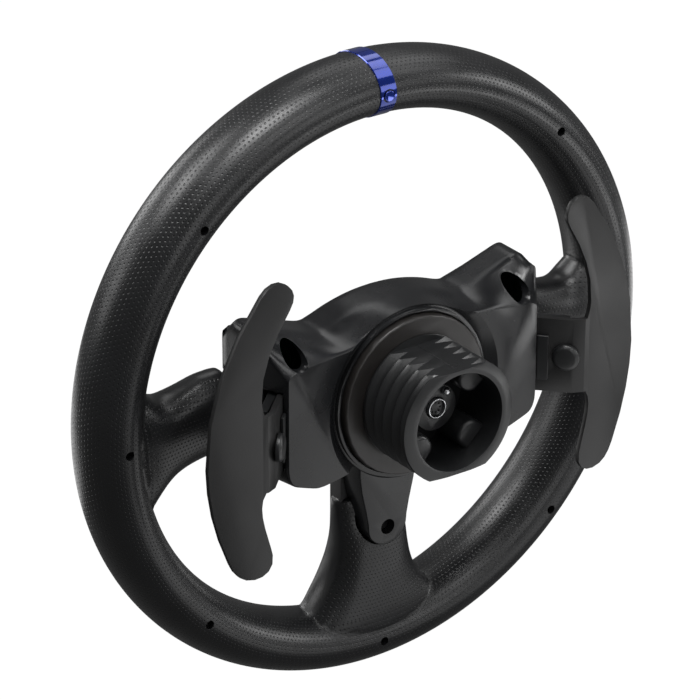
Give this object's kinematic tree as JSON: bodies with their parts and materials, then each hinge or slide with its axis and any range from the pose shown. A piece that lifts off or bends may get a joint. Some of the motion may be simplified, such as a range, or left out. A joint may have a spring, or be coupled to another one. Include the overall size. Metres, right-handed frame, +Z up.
{
  "type": "racing wheel",
  "caption": "Round rubber-gripped sim-racing wheel with three spokes, sprung metal shift paddles, face buttons and a quick-release collar.",
  "frame": {"origin": "centre of the quick-release collar's rear face", "axes": "+Y along the spin axis, out of the collar and away from the driver; +Z up; +X to the driver's right"},
  "size_m": [0.28, 0.0878, 0.2805],
  "materials": {
    "grip_rubber": "matt, finely dimpled",
    "shell_plastic": "satin black, fine grain",
    "collar_plastic": "satin black",
    "disc_plastic": "satin brownish black",
    "paddle_metal": "satin dark grey",
    "frame_metal": "cast, black anodised",
    "bright_steel": "polished",
    "black_steel": "blackened",
    "blue_gloss": "high gloss",
    "board_green": "solder mask",
    "keypad_silicone": "matt",
    "button_plastic": "satin",
    "lead_grey": "flat ribbon"
  },
  "bodies": {
    "wheel": {"rim_ring": "frame_metal", "rim_grip": "grip_rubber", "band_rear": "blue_gloss", "band_front": "blue_gloss", "band_screw": "blue_gloss", "spoke_frame": "frame_metal", "rear_housing": "shell_plastic", "front_shell": "shell_plastic", "centre_cap": "button_plastic", "main_board": "board_green", "right_button_board": "board_green", "left_button_board": "board_green", "right_lower_board": "board_green", "left_lower_board": "board_green", "right_keypad": "keypad_silicone", "left_keypad": "keypad_silicone", "connector_lead": "lead_grey", "flange_disc": "disc_plastic", "collar": "collar_plastic", "lug_insert": "collar_plastic", "collar_screw_1": "bright_steel", "collar_screw_2": "bright_steel", "collar_screw_3": "bright_steel", "collar_screw_4": "bright_steel", "connector_carrier": "collar_plastic", "connector_shell": "bright_steel", "connector_insert": "collar_plastic", "earth_screw": "bright_steel", "right_housing_screw": "black_steel", "left_housing_screw": "black_steel", "leg_screw": "black_steel", "right_hinge_pin": "bright_steel", "right_microswitch": "black_steel", "left_hinge_pin": "bright_steel", "left_microswitch": "black_steel"},
    "right_shifter": {"right_paddle": "paddle_metal", "right_paddle_lever": "collar_plastic", "right_paddle_clamp": "collar_plastic", "right_paddle_screw": "collar_plastic", "right_return_spring": "bright_steel"},
    "left_shifter": {"left_paddle": "paddle_metal", "left_paddle_lever": "collar_plastic", "left_paddle_clamp": "collar_plastic", "left_paddle_screw": "collar_plastic", "left_return_spring": "bright_steel"},
    "upper_action_button_body": {"upper_action_button": "button_plastic"},
    "lower_action_button_body": {"lower_action_button": "button_plastic"},
    "inner_action_button_body": {"inner_action_button": "button_plastic"},
    "outer_action_button_body": {"outer_action_button": "button_plastic"},
    "right_thumb_button_body": {"right_thumb_button": "button_plastic"},
    "right_corner_button_body": {"right_corner_button": "button_plastic"},
    "left_thumb_button_body": {"left_thumb_button": "button_plastic"},
    "left_corner_button_body": {"left_corner_button": "button_plastic"},
    "right_option_button_body": {"right_option_button": "button_plastic"},
    "left_option_button_body": {"left_option_button": "button_plastic"},
    "home_button_body": {"home_button": "button_plastic"},
    "pad_tilt": {"pad_rocker": "button_plastic"},
    "pad_cross": {"direction_pad": "button_plastic"}
  },
  "joints": [
    {"name": "right_paddle_pull", "type": "hinge", "parent": "wheel", "child": "right_shifter", "pos_m": [0.0575, -0.0399, 0], "axis": [0, 0, -1], "range_deg": [0, 4], "stiffness_Nm_per_rad": 2, "springref_deg": -3.44},
    {"name": "left_paddle_pull", "type": "hinge", "parent": "wheel", "child": "left_shifter", "pos_m": [-0.0575, -0.0399, 0], "axis": [0, 0, 1], "range_deg": [0, 4], "stiffness_Nm_per_rad": 2, "springref_deg": -3.44},
    {"name": "upper_action_button_press", "type": "slide", "parent": "wheel", "child": "upper_action_button_body", "axis": [0, 1, 0], "range_m": [0, 0.0008], "stiffness_N_per_m": 600, "springref_m": -0.0005},
    {"name": "lower_action_button_press", "type": "slide", "parent": "wheel", "child": "lower_action_button_body", "axis": [0, 1, 0], "range_m": [0, 0.0008], "stiffness_N_per_m": 600, "springref_m": -0.0005},
    {"name": "inner_action_button_press", "type": "slide", "parent": "wheel", "child": "inner_action_button_body", "axis": [0, 1, 0], "range_m": [0, 0.0008], "stiffness_N_per_m": 600, "springref_m": -0.0005},
    {"name": "outer_action_button_press", "type": "slide", "parent": "wheel", "child": "outer_action_button_body", "axis": [0, 1, 0], "range_m": [0, 0.0008], "stiffness_N_per_m": 600, "springref_m": -0.0005},
    {"name": "right_thumb_button_press", "type": "slide", "parent": "wheel", "child": "right_thumb_button_body", "axis": [0, 1, 0], "range_m": [0, 0.0008], "stiffness_N_per_m": 600, "springref_m": -0.0005},
    {"name": "right_corner_button_press", "type": "slide", "parent": "wheel", "child": "right_corner_button_body", "axis": [0, 1, 0], "range_m": [0, 0.0008], "stiffness_N_per_m": 600, "springref_m": -0.0005},
    {"name": "left_thumb_button_press", "type": "slide", "parent": "wheel", "child": "left_thumb_button_body", "axis": [0, 1, 0], "range_m": [0, 0.0008], "stiffness_N_per_m": 600, "springref_m": -0.0005},
    {"name": "left_corner_button_press", "type": "slide", "parent": "wheel", "child": "left_corner_button_body", "axis": [0, 1, 0], "range_m": [0, 0.0008], "stiffness_N_per_m": 600, "springref_m": -0.0005},
    {"name": "right_option_button_press", "type": "slide", "parent": "wheel", "child": "right_option_button_body", "axis": [0, 1, 0], "range_m": [0, 0.0008], "stiffness_N_per_m": 600, "springref_m": -0.0005},
    {"name": "left_option_button_press", "type": "slide", "parent": "wheel", "child": "left_option_button_body", "axis": [0, 1, 0], "range_m": [0, 0.0008], "stiffness_N_per_m": 600, "springref_m": -0.0005},
    {"name": "home_button_press", "type": "slide", "parent": "wheel", "child": "home_button_body", "axis": [0, 1, 0], "range_m": [0, 0.0008], "stiffness_N_per_m": 600, "springref_m": -0.0005},
    {"name": "pad_side_tilt", "type": "hinge", "parent": "wheel", "child": "pad_tilt", "pos_m": [-0.052, -0.073, 0.015], "axis": [0, 0, 1], "range_deg": [-3, 3], "stiffness_Nm_per_rad": 0.1},
    {"name": "pad_up_down_tilt", "type": "hinge", "parent": "pad_tilt", "child": "pad_cross", "pos_m": [-0.052, -0.073, 0.015], "axis": [1, 0, 0], "range_deg": [-3, 3], "stiffness_Nm_per_rad": 0.1}
  ]
}
